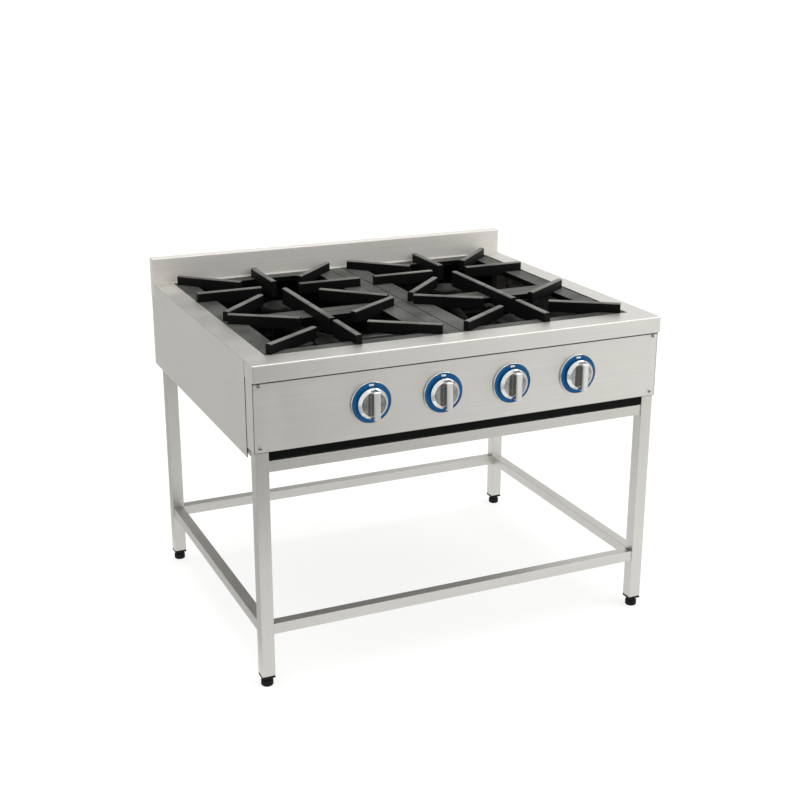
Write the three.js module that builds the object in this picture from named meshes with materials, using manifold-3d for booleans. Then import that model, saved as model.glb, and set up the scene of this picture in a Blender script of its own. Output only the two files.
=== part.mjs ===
import * as THREE from "three";
import { mergeVertices } from "three/addons/utils/BufferGeometryUtils.js";
import Module from "manifold-3d";

const wasm = await Module();
wasm.setup();

// ---------------------------------------------------------------------------
// Free-standing gas range with four open burners on a tubular stand.
// Millimetres, +Z up, front towards -Y, floor at Z 0, centred on X and Y.
// While a piece is built, y is its depth behind the front fold of the worktop.
// ---------------------------------------------------------------------------

// Overall sizes
const WIDTH = 1000; // worktop, side to side
const DEPTH = 830; // front fold of the worktop to the back of the splashback
const TOP_Z = 750; // worktop surface above the floor
const GAP = 0.3; // between pieces that touch
const SHEET = 2; // folded stainless sheet
const FOLD_R = 3; // outer radius of the worktop's and splashback's long folds

// Worktop and its cut-out
const FASCIA = 38; // height of the worktop's front fold
const CUT_SIDE = 50; // worktop left standing beside the cut-out
const CUT_FRONT = 66; // worktop left standing before it
const CUT_BACK = 7; // and behind it, up to the splashback
const LEDGE = 12; // width of the ledge that carries the grates

// Splashback
const SPLASH_THICK = 28;
const SPLASH_RISE = 65; // above the worktop

// Body panels
const SIDE_DROP = 217; // worktop surface to the lower edge of a side panel
const SIDE_BACK = 4; // side panel's back edge before the splashback's back
const PANEL_DROP = 194; // worktop surface to the lower edge of the control panel
const PANEL_RECESS = 7; // control panel behind the worktop's front fold
const PANEL_INSET = 1; // its ends inside the worktop's ends
const PANEL_RETURN = 48; // depth of its side returns
const PANEL_GAP = 3; // open line between the fold and the panel
const PANEL_FOOT = 14; // depth of its bottom return
const VENTS = 6; // slots through the rear panel
const VENT_LENGTH = 70;
const VENT_HEIGHT = 8;
const VENT_PITCH = 119;
const VENT_DROP = 212; // worktop surface to the lower edge of a vent, behind the rear rail

// Stand
const TUBE = 30; // leg, square tube
const TUBE_WALL = 2;
const RAIL = 25; // rail, square tube
const RAIL_WALL = 1.5;
const LEG_BOTTOM = 26; // lower end of a leg above the floor
const REAR_LEG_SETBACK = 60; // rear legs before the splashback's back
const LOWER_RAIL_Z = 127; // underside of the lower rails
const FRONT_RAIL_DROP = 241; // worktop surface to the underside of the rail under the drip tray
const UPPER_RAIL_DROP = 213; // and of the rails inside the body

// Levelling feet
const FOOT_R = 14;
const STEM_R = 5;
const STEM_LENGTH = 58;
const PLUG_FLANGE = 5;
const PLUG_INSERT = 14;

// Drip tray and its runners
const TRAY_DROP = 213; // worktop surface to its underside
const TRAY_HEIGHT = 17;
const TRAY_WALL = 1.5;
const TRAY_LIP = 3; // thickness of its front plate
const TRAY_SIDE_CLEAR = 2.4; // between the tray and the legs beside it
const TRAY_END_CLEAR = 6; // between the tray and the rear legs
const RUNNER_SHEET = 2;
const RUNNER_LEDGE = 17;
const RUNNER_HEIGHT = 14;

// Grates
const BAR_WIDTH = 36; // bar between the left and right grates
const BAR_FLANGE = 12; // its ledge on each side
const GRATE_CLEAR = 1.5;
const GRATE_SINK = 2; // frame below the worktop surface
const GRATE_FRAME = 13.4; // thickness of the frame
const GRATE_SPLIT = 368; // line between the front and rear grates
const BAND_SIDE = 48; // frame width along the sides
const BAND_END = 34; // frame width at the front and back
const RIB_WIDTH = 14;
const RIB_RISE = 23; // rib tops above the frame
const RIB_CHAMFER = 2;
const RIB_END = 8; // rib ends inside the frame's outer edge

// Gas train
const KNOB_ROW_X = 24; // middle of the knob row, right of the range's middle
const KNOB_PITCH = 172;
const KNOB_DROP = 114; // worktop surface to the spindles
const BEZEL_SHOW = 11; // bezel seen round a knob
const BEZEL_THICK = 3;
const KNOB_R = 35;
const KNOB_BEVEL = 6.5; // width of the knob's sloping edge
const KNOB_SKIRT = 9.3; // back of the knob to its face
const KNOB_REACH = 38; // front of the grip ahead of the control panel
const KNOB_STANDOFF = 10.3; // back of the knob ahead of the control panel
const KNOB_TRAVEL = 4; // pushed in
const GRIP_WIDTH = 16;
const GRIP_INSET = 2; // grip ends inside the knob's edge
const SPINDLE_R = 5;
const SPINDLE_CLEAR = 0.3;
const PANEL_HOLE_R = 7;
const PIPE_R = 10.65; // half-inch gas pipe
const PIPE_BORE = 8;
const PIPE_Y = 62;
const PIPE_DROP = 134; // worktop surface to the pipe's axis
const INLET_INSET = 60; // inlet branch inside the worktop's right end
const JET_DROP = 82; // worktop surface to the jets
const TAP_SETBACK = 9; // front of a tap's body behind the front of the control panel
const JET_REACH = 84; // depth of the jet's tip
const RACK_DROP = 102; // worktop surface to the top of the burner rack
const RACK_BAR = 40;
const RACK_SHEET = 3;
const RACK_TURN = 14; // depth of its turned-down edges
const RACK_TIE_INSET = 90; // its lengthwise bars inside the range's ends
const BOWL_DROP = 38; // worktop surface to the rim of a burner
const BOWL_R = 50;
const VENTURI_R = 14;
const VENTURI_WALL = 3;
const VENTURI_START = 98; // depth of the venturi's mouth
const CAP_INSET = 4; // edge of a cap inside the burner's rim
const CAP_HEIGHT = 9.7;
const PORTS = 12; // flame slots round a burner cap

// Derived places
const HALF = WIDTH / 2;
const SPLASH_Y = DEPTH - SPLASH_THICK;
const FASCIA_Z = TOP_Z - FASCIA;
const SIDE_Z = TOP_Z - SIDE_DROP;
const PANEL_Z = TOP_Z - PANEL_DROP;
const FRONT_RAIL_Z = TOP_Z - FRONT_RAIL_DROP;
const UPPER_RAIL_Z = TOP_Z - UPPER_RAIL_DROP;
const TRAY_Z = TOP_Z - TRAY_DROP;
const KNOB_Z = TOP_Z - KNOB_DROP;
const PIPE_Z = TOP_Z - PIPE_DROP;
const JET_Z = TOP_Z - JET_DROP;
const RACK_Z = TOP_Z - RACK_DROP;
const BOWL_Z = TOP_Z - BOWL_DROP;
const INLET_X = HALF - INLET_INSET;
const BEZEL_R = KNOB_R + BEZEL_SHOW;
const KNOB_FACE_R = KNOB_R - KNOB_BEVEL;
const GRIP_R = KNOB_R - GRIP_INSET;
const CAP_R = BOWL_R - CAP_INSET;
const LEG_X = PANEL_INSET + SHEET + GAP; // leg inside the worktop's end
const LEG_Y = PANEL_RECESS + SHEET + GAP; // front leg behind the front fold
const REAR_LEG_Y = DEPTH - REAR_LEG_SETBACK - TUBE;
const TRAY_BACK = REAR_LEG_Y - TRAY_END_CLEAR;
const LEG_TOP = TOP_Z - SHEET - 3;
const CUT_X = HALF - CUT_SIDE;
const CUT_Y0 = CUT_FRONT;
const CUT_Y1 = SPLASH_Y - CUT_BACK;
const FRAME_TOP = TOP_Z - GRATE_SINK;
const FRAME_Z = FRAME_TOP - GRATE_FRAME;
const LEDGE_Z = FRAME_Z - 2 * GAP; // the centre bar's flange ends a gap above it
const RIM_Z = LEDGE_Z - SHEET; // underside of the cut-out's turned-down rim
const GRATE_X0 = BAR_WIDTH / 2 + GRATE_CLEAR;
const GRATE_X1 = CUT_X - GRATE_CLEAR;
const BURNER_X = (GRATE_X0 + GRATE_X1) / 2;
const KNOB_BACK = PANEL_RECESS - KNOB_STANDOFF;
const KNOB_FRONT = PANEL_RECESS - KNOB_REACH;
const SPINDLE_TIP = KNOB_BACK - 14;
const FRONT_Y = -(DEPTH + KNOB_FRONT) / 2; // the front fold's place on Y

const ROWS = {
  front: { y0: CUT_Y0 + GRATE_CLEAR, y1: GRATE_SPLIT - GRATE_CLEAR / 2 },
  rear: { y0: GRATE_SPLIT + GRATE_CLEAR / 2, y1: CUT_Y1 - GRATE_CLEAR },
};
for (const row of Object.values(ROWS)) {
  row.y = (row.y0 + row.y1) / 2;
}
const SIDES = { left: -1, right: 1 };

// ---------------------------------------------------------------------------
// Materials
// ---------------------------------------------------------------------------

const steel = new THREE.MeshStandardMaterial({ color: 0xc9c7c1, metalness: 1, roughness: 0.35 });
const castIron = new THREE.MeshStandardMaterial({ color: 0x2a2b2a, metalness: 0.4, roughness: 0.7 });
const enamel = new THREE.MeshStandardMaterial({ color: 0x111312, metalness: 0, roughness: 0.3 });
const brass = new THREE.MeshStandardMaterial({ color: 0xb08d4a, metalness: 1, roughness: 0.35 });
const chrome = new THREE.MeshStandardMaterial({ color: 0xdfdfdc, metalness: 1, roughness: 0.15 });
const bluePlastic = new THREE.MeshStandardMaterial({ color: 0x0a5a9c, metalness: 0, roughness: 0.35 });
const blackPlastic = new THREE.MeshStandardMaterial({ color: 0x121212, metalness: 0, roughness: 0.6 });
const galvanised = new THREE.MeshStandardMaterial({ color: 0xa9abab, metalness: 1, roughness: 0.5 });

// ---------------------------------------------------------------------------
// Solids
// ---------------------------------------------------------------------------

const group = new THREE.Group();

// A closed three.js geometry as a solid.
function solid(geometry) {
  const bare = geometry.index ? geometry.toNonIndexed() : geometry.clone();
  bare.deleteAttribute("normal");
  bare.deleteAttribute("uv");
  const merged = mergeVertices(bare, 1e-4);
  return new wasm.Manifold(
    new wasm.Mesh({
      numProp: 3,
      vertProperties: new Float32Array(merged.attributes.position.array),
      triVerts: new Uint32Array(merged.index.array),
    }),
  );
}

// Adds a solid as a named mesh, moved from the front fold's datum to the part's frame.
function add(name, body, material) {
  const made = body.getMesh();
  const geometry = new THREE.BufferGeometry();
  geometry.setAttribute("position", new THREE.BufferAttribute(new Float32Array(made.vertProperties), 3));
  geometry.setIndex(new THREE.BufferAttribute(new Uint32Array(made.triVerts), 1));
  geometry.translate(0, FRONT_Y, 0);
  geometry.computeVertexNormals();
  const mesh = new THREE.Mesh(geometry, material);
  mesh.name = name;
  group.add(mesh);
}

function box(x0, x1, y0, y1, z0, z1) {
  const geometry = new THREE.BoxGeometry(Math.abs(x1 - x0), y1 - y0, z1 - z0);
  geometry.translate((x0 + x1) / 2, (y0 + y1) / 2, (z0 + z1) / 2);
  return solid(geometry);
}

function union(...bodies) {
  return bodies.reduce((a, b) => a.add(b));
}

// A solid of revolution about Z through (x, y), from its [radius, z] profile.
function turned(profile, x, y, segments) {
  const points = profile.map(([r, z]) => new THREE.Vector2(r, z));
  const geometry = new THREE.LatheGeometry(points, segments);
  geometry.rotateX(Math.PI / 2);
  geometry.translate(x, y, 0);
  return solid(geometry);
}

// A solid of revolution about an axis along Y through (x, z), from its [radius, y] profile.
function turnedAlongY(profile, x, z, segments) {
  const points = profile.map(([r, y]) => new THREE.Vector2(r, y));
  const geometry = new THREE.LatheGeometry(points, segments);
  geometry.translate(x, 0, z);
  return solid(geometry);
}

// A cylinder about Z, Y or X between two places on that axis.
function rod(axis, r, from, to, a, b, segments) {
  const geometry = new THREE.CylinderGeometry(r, r, to - from, segments);
  const middle = (from + to) / 2;
  if (axis === "z") {
    geometry.rotateX(Math.PI / 2);
    geometry.translate(a, b, middle);
  }
  if (axis === "y") {
    geometry.translate(a, middle, b);
  }
  if (axis === "x") {
    geometry.rotateZ(Math.PI / 2);
    geometry.translate(middle, a, b);
  }
  return solid(geometry);
}

// An outline in the plane across X, given as [y, z] points, x0 to x1.
function plateAcrossX(outline, x0, x1) {
  const shape = new THREE.Shape(outline.map(([y, z]) => new THREE.Vector2(y, z)));
  const geometry = new THREE.ExtrudeGeometry(shape, { depth: x1 - x0, bevelEnabled: false });
  const turn = new THREE.Matrix4().set(0, 0, 1, x0, 1, 0, 0, 0, 0, 1, 0, 0, 0, 0, 0, 1);
  geometry.applyMatrix4(turn);
  return solid(geometry);
}

// A square tube along X, Y or Z: outer box less its bore, open at both ends.
function squareTube(axis, x0, x1, y0, y1, z0, z1, wall) {
  const w = (a) => (a === axis ? -1 : wall);
  const bore = box(
    x0 + w("x"),
    x1 - w("x"),
    y0 + w("y"),
    y1 - w("y"),
    z0 + w("z"),
    z1 - w("z"),
  );
  return box(x0, x1, y0, y1, z0, z1).subtract(bore);
}

// What a long fold along X loses at its corner (y, z); ys and zs point out of the metal.
function foldCorner(x0, x1, y, z, ys, zs) {
  const cy = y - ys * FOLD_R;
  const cz = z - zs * FOLD_R;
  const square = box(
    x0 - 1,
    x1 + 1,
    Math.min(cy, y + ys),
    Math.max(cy, y + ys),
    Math.min(cz, z + zs),
    Math.max(cz, z + zs),
  );
  return square.subtract(rod("x", FOLD_R, x0 - 2, x1 + 2, cy, cz, 24));
}

// ---------------------------------------------------------------------------
// Worktop: top sheet with a front fold, and a turned-down rim with a ledge round the cut-out
// ---------------------------------------------------------------------------

function makeWorktop() {
  const back = SPLASH_Y - GAP;
  const top = box(-HALF, HALF, 0, back, TOP_Z - SHEET, TOP_Z);
  const fold = box(-HALF, HALF, 0, SHEET, FASCIA_Z, TOP_Z);
  const rimOut = box(
    -CUT_X - SHEET,
    CUT_X + SHEET,
    CUT_Y0 - SHEET,
    CUT_Y1 + SHEET,
    RIM_Z,
    TOP_Z,
  );
  const cut = box(-CUT_X, CUT_X, CUT_Y0, CUT_Y1, LEDGE_Z, TOP_Z + 1);
  const way = box(
    -CUT_X + LEDGE,
    CUT_X - LEDGE,
    CUT_Y0 + LEDGE,
    CUT_Y1 - LEDGE,
    RIM_Z - 1,
    LEDGE_Z + 1,
  );
  const sheet = union(top, fold, rimOut).subtract(cut).subtract(way);
  add("worktop", sheet.subtract(foldCorner(-HALF, HALF, 0, TOP_Z, -1, 1)), steel);
}

// A hollow folded upstand, open underneath.
function makeSplashback() {
  const top = TOP_Z + SPLASH_RISE;
  const outer = box(-HALF, HALF, SPLASH_Y, DEPTH, FASCIA_Z, top);
  const inner = box(
    -HALF + SHEET,
    HALF - SHEET,
    SPLASH_Y + SHEET,
    DEPTH - SHEET,
    FASCIA_Z - 1,
    top - SHEET,
  );
  const frontFold = foldCorner(-HALF, HALF, SPLASH_Y, top, -1, 1);
  const rearFold = foldCorner(-HALF, HALF, DEPTH, top, 1, 1);
  add("splashback", outer.subtract(inner).subtract(frontFold).subtract(rearFold), steel);
}

// ---------------------------------------------------------------------------
// Body panels
// ---------------------------------------------------------------------------

function makeSidePanels() {
  const seam = PANEL_RECESS + PANEL_RETURN + GAP;
  const under = FASCIA_Z - GAP;
  const top = TOP_Z - SHEET - GAP;
  const outline = [
    [SHEET + GAP, under + GAP],
    [seam, under + GAP],
    [seam, SIDE_Z],
    [DEPTH - SIDE_BACK, SIDE_Z],
    [DEPTH - SIDE_BACK, under],
    [SPLASH_Y - GAP, under],
    [SPLASH_Y - GAP, top],
    [SHEET + GAP, top],
  ];
  for (const [side, s] of Object.entries(SIDES)) {
    const outside = s < 0 ? -HALF : HALF - SHEET;
    add("side_panel_" + side, plateAcrossX(outline, outside, outside + SHEET), steel);
  }
}

function makeRearPanel() {
  const y1 = SPLASH_Y - GAP;
  const half = HALF - SHEET - GAP;
  let panel = box(-half, half, y1 - SHEET, y1, SIDE_Z, TOP_Z - SHEET - GAP);
  const flangeHalf = HALF - LEG_X - TUBE - GAP;
  // its lower flange closes the body under the rear rail, up to the tray runners
  panel = panel.add(box(-flangeHalf, flangeHalf, REAR_LEG_Y, y1, SIDE_Z, SIDE_Z + SHEET));
  for (let i = 0; i < VENTS; i += 1) {
    const x = (i - (VENTS - 1) / 2) * VENT_PITCH;
    const slot = box(
      x - VENT_LENGTH / 2,
      x + VENT_LENGTH / 2,
      y1 - SHEET - 1,
      y1 + 1,
      TOP_Z - VENT_DROP,
      TOP_Z - VENT_DROP + VENT_HEIGHT,
    );
    panel = panel.subtract(slot);
  }
  panel = panel.subtract(rod("y", PIPE_R + 5, y1 - SHEET - 1, y1 + 1, INLET_X, PIPE_Z, 24));
  add("rear_panel", panel, galvanised);
}

function knobX(i) {
  return KNOB_ROW_X + (i - 1.5) * KNOB_PITCH;
}

function makeControlPanel() {
  const y0 = PANEL_RECESS;
  const half = HALF - PANEL_INSET;
  const top = FASCIA_Z - PANEL_GAP;
  const legs = HALF - LEG_X - TUBE - GAP;
  const front = box(-half, half, y0, y0 + SHEET, PANEL_Z, top);
  const foot = box(-legs, legs, y0, y0 + SHEET + PANEL_FOOT, PANEL_Z, PANEL_Z + SHEET);
  const sides = FASCIA_Z - GAP; // the returns meet the fold and the side panels
  const left = box(-half, -half + SHEET, y0, y0 + PANEL_RETURN, PANEL_Z, sides);
  const right = box(half - SHEET, half, y0, y0 + PANEL_RETURN, PANEL_Z, sides);
  let panel = union(front, foot, left, right);
  for (let i = 0; i < 4; i += 1) {
    panel = panel.subtract(rod("y", PANEL_HOLE_R, y0 - 1, y0 + SHEET + 1, knobX(i), KNOB_Z, 20));
  }
  add("control_panel", panel, steel);
}

// ---------------------------------------------------------------------------
// Stand: four legs, two rings of rails, plugs and levelling feet
// ---------------------------------------------------------------------------

const LEGS = [];
for (const [row, y0] of [["front", LEG_Y], ["rear", REAR_LEG_Y]]) {
  for (const [side, s] of Object.entries(SIDES)) {
    const x0 = s < 0 ? -HALF + LEG_X : HALF - LEG_X - TUBE;
    LEGS.push({ name: row + "_" + side, x0, y0, x: x0 + TUBE / 2, y: y0 + TUBE / 2 });
  }
}

function makeLegs() {
  for (const leg of LEGS) {
    const x1 = leg.x0 + TUBE;
    const y1 = leg.y0 + TUBE;
    const bottom = LEG_BOTTOM + GAP;
    add("leg_" + leg.name, squareTube("z", leg.x0, x1, leg.y0, y1, bottom, LEG_TOP, TUBE_WALL), steel);
    const flange = box(leg.x0, x1, leg.y0, y1, LEG_BOTTOM - PLUG_FLANGE, LEG_BOTTOM);
    const in0 = TUBE_WALL + GAP;
    const insert = box(
      leg.x0 + in0,
      x1 - in0,
      leg.y0 + in0,
      y1 - in0,
      LEG_BOTTOM - 1,
      LEG_BOTTOM + PLUG_INSERT,
    );
    const bore = rod("z", STEM_R + GAP, 0, LEG_TOP, leg.x, leg.y, 20);
    add("leg_plug_" + leg.name, union(flange, insert).subtract(bore), blackPlastic);
    const under = LEG_BOTTOM - PLUG_FLANGE - GAP;
    const profile = [
      [0, 0],
      [FOOT_R - 1.5, 0],
      [FOOT_R, 2],
      [FOOT_R, under - 8],
      [FOOT_R - 3, under - 5],
      [FOOT_R - 3, under],
      [STEM_R, under],
      [STEM_R, STEM_LENGTH],
      [0, STEM_LENGTH],
    ];
    add("foot_" + leg.name, turned(profile, leg.x, leg.y, 16), blackPlastic);
  }
}

function makeRails() {
  const side = (TUBE - RAIL) / 2;
  const x0 = HALF - LEG_X - TUBE - GAP;
  const y0 = LEG_Y + TUBE + GAP;
  const y1 = REAR_LEG_Y - GAP;
  const rings = [
    { name: "lower", front: LOWER_RAIL_Z, other: LOWER_RAIL_Z },
    { name: "upper", front: FRONT_RAIL_Z, other: UPPER_RAIL_Z },
  ];
  for (const ring of rings) {
    for (const [row, legY, z] of [
      ["front", LEG_Y, ring.front],
      ["rear", REAR_LEG_Y, ring.other],
    ]) {
      const tube = squareTube("x", -x0, x0, legY + side, legY + side + RAIL, z, z + RAIL, RAIL_WALL);
      add(ring.name + "_rail_" + row, tube, steel);
    }
    for (const [name, s] of Object.entries(SIDES)) {
      const a = s * (HALF - LEG_X - side);
      const b = a - s * RAIL;
      const z = ring.other;
      const tube = squareTube("y", Math.min(a, b), Math.max(a, b), y0, y1, z, z + RAIL, RAIL_WALL);
      add(ring.name + "_rail_" + name, tube, steel);
    }
  }
}

// ---------------------------------------------------------------------------
// Drip tray on two angle runners
// ---------------------------------------------------------------------------

const RUNNER_X = HALF - LEG_X - (TUBE - RAIL) / 2 - RAIL - GAP; // outer face of a runner

function makeTray() {
  const y0 = LEG_Y + TUBE + GAP;
  const y1 = REAR_LEG_Y - GAP;
  const z0 = TRAY_Z - GAP - RUNNER_SHEET;
  for (const [side, s] of Object.entries(SIDES)) {
    const a = s * RUNNER_X;
    const b = a - s * RUNNER_SHEET;
    const c = a - s * RUNNER_LEDGE;
    const web = box(Math.min(a, b), Math.max(a, b), y0, y1, z0, z0 + RUNNER_HEIGHT);
    const ledge = box(Math.min(a, c), Math.max(a, c), y0, y1, z0, z0 + RUNNER_SHEET);
    add("tray_runner_" + side, web.add(ledge), galvanised);
  }
  const half = HALF - LEG_X - TUBE - TRAY_SIDE_CLEAR;
  const front = PANEL_RECESS + 4;
  const lipHalf = HALF - LEG_X - TUBE - 2 * GAP;
  const shell = box(-half, half, front, TRAY_BACK, TRAY_Z, TRAY_Z + TRAY_HEIGHT);
  const hollow = box(
    -half + TRAY_WALL,
    half - TRAY_WALL,
    front + TRAY_LIP,
    TRAY_BACK - TRAY_WALL,
    TRAY_Z + TRAY_WALL,
    TRAY_Z + TRAY_HEIGHT + 1,
  );
  const lip = box(-lipHalf, lipHalf, front, front + TRAY_LIP, TRAY_Z, PANEL_Z - 1);
  add("drip_tray", union(shell.subtract(hollow), lip), enamel);
}

// ---------------------------------------------------------------------------
// Cast-iron grates: a flat frame with raised ribs that point at the burner
// ---------------------------------------------------------------------------

// One rib from (x0, y0) at the frame to (x1, y1) over the burner.
// Its underside is at z0 by the frame and at z1 by the burner.
function rib(x0, y0, x1, y1, z0, z1) {
  const length = Math.hypot(x1 - x0, y1 - y0);
  const half = RIB_WIDTH / 2;
  const top = FRAME_TOP + RIB_RISE;
  const section = new THREE.Shape([
    new THREE.Vector2(-half, 0),
    new THREE.Vector2(half, 0),
    new THREE.Vector2(half, top - RIB_CHAMFER - z0),
    new THREE.Vector2(half - RIB_CHAMFER, top - z0),
    new THREE.Vector2(-half + RIB_CHAMFER, top - z0),
    new THREE.Vector2(-half, top - RIB_CHAMFER - z0),
  ]);
  const geometry = new THREE.ExtrudeGeometry(section, { depth: length, bevelEnabled: false });
  const place = geometry.attributes.position;
  for (let i = 0; i < place.count; i += 1) {
    if (place.getZ(i) > length / 2 && place.getY(i) < 0.01) {
      place.setY(i, z1 - z0);
    }
  }
  const along = new THREE.Vector3((x1 - x0) / length, (y1 - y0) / length, 0);
  const up = new THREE.Vector3(0, 0, 1);
  const across = new THREE.Vector3().crossVectors(up, along);
  const turn = new THREE.Matrix4().makeBasis(across, up, along);
  turn.setPosition(x0, y0, z0);
  geometry.applyMatrix4(turn);
  return solid(geometry);
}

// Ribs of each row: direction in quarter or corner steps, and how near the inner end comes to the burner.
// A value of 1 on x or y is the frame's edge on that side.
const RIBS = {
  rear: [
    { x: -1, y: 1, inner: 108 },
    { x: 0, y: 1, inner: 44, deep: true },
    { x: 1, y: 1, inner: 108 },
    { x: 1, y: 0, inner: 50 },
    { x: 1, y: -1, inner: 108 },
    { x: 0, y: -1, inner: 34, deep: true },
    { x: -1, y: -1, inner: 108 },
    { x: -1, y: 0, inner: 50 },
  ],
  front: [
    { x: -1, y: 1, inner: 78 },
    { x: 0, y: 1, inner: 9, deep: true },
    { x: 1, y: 1, inner: 78 },
    { x: 1, y: -1, inner: 78 },
    { x: 0, y: -1, inner: 9, deep: true },
    { x: -1, y: -1, inner: 78 },
  ],
};

function makeGrates() {
  const wide = GRATE_X1 - GRATE_X0;
  for (const [rowName, row] of Object.entries(ROWS)) {
    for (const [side, s] of Object.entries(SIDES)) {
      const cx = s * BURNER_X;
      const frame = box(cx - wide / 2, cx + wide / 2, row.y0, row.y1, FRAME_Z, FRAME_TOP);
      const hole = box(
        cx - wide / 2 + BAND_SIDE,
        cx + wide / 2 - BAND_SIDE,
        row.y0 + BAND_END,
        row.y1 - BAND_END,
        FRAME_Z - 1,
        FRAME_TOP + 1,
      );
      let grate = frame.subtract(hole);
      const halfX = wide / 2 - RIB_END;
      const halfY = (row.y1 - row.y0) / 2 - RIB_END;
      for (const r of RIBS[rowName]) {
        // the right rear casting has no rib towards its outer front corner
        if (rowName === "rear" && side === "right" && r.x === 1 && r.y === -1) {
          continue;
        }
        const diagonal = r.x !== 0 && r.y !== 0;
        const dx = r.x * (diagonal ? halfX - 2 : wide / 2 - 0.5);
        const dy = r.y * (diagonal ? halfY - 2 : (row.y1 - row.y0) / 2 - 0.5);
        const reach = Math.hypot(dx, dy);
        const ix = cx + (dx * r.inner) / reach;
        const iy = row.y + (dy * r.inner) / reach;
        const z0 = r.deep ? FRAME_Z + 0.5 : FRAME_Z + 5;
        const z1 = r.deep ? FRAME_Z - 4 : FRAME_Z + 10;
        grate = grate.add(rib(cx + dx, row.y + dy, ix, iy, z0, z1));
      }
      // nothing may stand past the frame or below it where the frame rests
      const keep = box(cx - wide / 2, cx + wide / 2, row.y0, row.y1, FRAME_Z - 6, FRAME_TOP + 40);
      const inside = box(
        cx - wide / 2 + BAND_SIDE,
        cx + wide / 2 - BAND_SIDE,
        row.y0 + BAND_END,
        row.y1 - BAND_END,
        FRAME_Z - 6,
        FRAME_Z + 1,
      );
      const rest = box(
        cx - wide / 2 - 1,
        cx + wide / 2 + 1,
        row.y0 - 1,
        row.y1 + 1,
        FRAME_Z - 7,
        FRAME_Z,
      ).subtract(inside);
      add("grate_" + rowName + "_" + side, grate.intersect(keep).subtract(rest), castIron);
    }
  }
}

function makeCentreBar() {
  const z = LEDGE_Z + GAP;
  const half = BAR_WIDTH / 2;
  const top = box(-half, half, CUT_Y0 + GAP, CUT_Y1 - GAP, z, FRAME_TOP);
  const flange = box(
    -half - BAR_FLANGE,
    half + BAR_FLANGE,
    CUT_Y0 + LEDGE + GAP,
    CUT_Y1 - LEDGE - GAP,
    z - 6,
    FRAME_Z - GAP,
  );
  add("grate_centre_bar", top.add(flange), castIron);
}

// ---------------------------------------------------------------------------
// Burners on a rack, each with a venturi tube that comes forward to its tap
// ---------------------------------------------------------------------------

const BURNERS = [
  { name: "front_left", knob: 0, x: -BURNER_X, y: ROWS.front.y },
  { name: "rear_left", knob: 1, x: -BURNER_X, y: ROWS.rear.y },
  { name: "rear_right", knob: 2, x: BURNER_X, y: ROWS.rear.y },
  { name: "front_right", knob: 3, x: BURNER_X, y: ROWS.front.y },
];

// A round bar of radius r from the venturi's mouth to the burner's neck.
function venturi(burner, r, before, after) {
  const x0 = knobX(burner.knob);
  const y0 = VENTURI_START - before;
  const y1 = burner.y + after;
  const bend = (y1 - y0) * 0.3;
  const path = new THREE.CubicBezierCurve3(
    new THREE.Vector3(x0, y0, JET_Z),
    new THREE.Vector3(x0, y0 + bend, JET_Z),
    new THREE.Vector3(burner.x, y1 - bend, JET_Z),
    new THREE.Vector3(burner.x, y1, JET_Z),
  );
  const circle = new THREE.Shape();
  circle.absarc(0, 0, r, 0, Math.PI * 2, false);
  const options = { steps: 8, curveSegments: 6, extrudePath: path, bevelEnabled: false };
  return solid(new THREE.ExtrudeGeometry(circle, options));
}

function makeBurners() {
  for (const burner of BURNERS) {
    const z = RACK_Z + GAP;
    const outside = [
      [0, z],
      [22, z],
      [22, JET_Z + 20],
      [BOWL_R, BOWL_Z - 14],
      [BOWL_R, BOWL_Z],
      [0, BOWL_Z],
    ];
    const inside = [
      [0, z + 4],
      [17, z + 4],
      [17, JET_Z + 20],
      [BOWL_R - 5, BOWL_Z - 11],
      [BOWL_R - 5, BOWL_Z + 1],
      [0, BOWL_Z + 1],
    ];
    const mouthX = knobX(burner.knob);
    const bell = turnedAlongY(
      [
        [0, VENTURI_START - 4],
        [VENTURI_R + 8, VENTURI_START - 4],
        [VENTURI_R + 8, VENTURI_START],
        [VENTURI_R - 1, VENTURI_START + 14],
        [0, VENTURI_START + 14],
      ],
      mouthX,
      JET_Z,
      20,
    );
    const throat = turnedAlongY(
      [
        [0, VENTURI_START - 5],
        [VENTURI_R + 5, VENTURI_START - 5],
        [VENTURI_R - VENTURI_WALL, VENTURI_START + 12],
        [0, VENTURI_START + 12],
      ],
      mouthX,
      JET_Z,
      20,
    );
    const outer = union(turned(outside, burner.x, burner.y, 24), venturi(burner, VENTURI_R, 0, 0), bell);
    const hollow = union(
      turned(inside, burner.x, burner.y, 24),
      venturi(burner, VENTURI_R - VENTURI_WALL, 0, -2),
      throat,
    );
    add("burner_" + burner.name, outer.subtract(hollow), castIron);
    makeCap(burner);
  }
}

// A domed cap with flame slots round its skirt, standing on the burner's rim.
function makeCap(burner) {
  const z = BOWL_Z + GAP;
  const top = z + CAP_HEIGHT;
  const profile = [
    [BOWL_R - 9, z],
    [BOWL_R - 1, z],
    [CAP_R, top - 3],
    [CAP_R - 8, top],
    [0, top],
    [0, top - 4],
    [CAP_R - 10, top - 4],
    [BOWL_R - 9, z],
  ];
  let cap = turned(profile, burner.x, burner.y, 24);
  for (let i = 0; i < PORTS; i += 1) {
    const slot = new THREE.BoxGeometry(14, 2.6, 3.2);
    slot.translate(BOWL_R - 3, 0, z + 1.5);
    slot.rotateZ((i * 2 * Math.PI) / PORTS);
    slot.translate(burner.x, burner.y, 0);
    cap = cap.subtract(solid(slot));
  }
  add("burner_cap_" + burner.name, cap, castIron);
}

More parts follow.
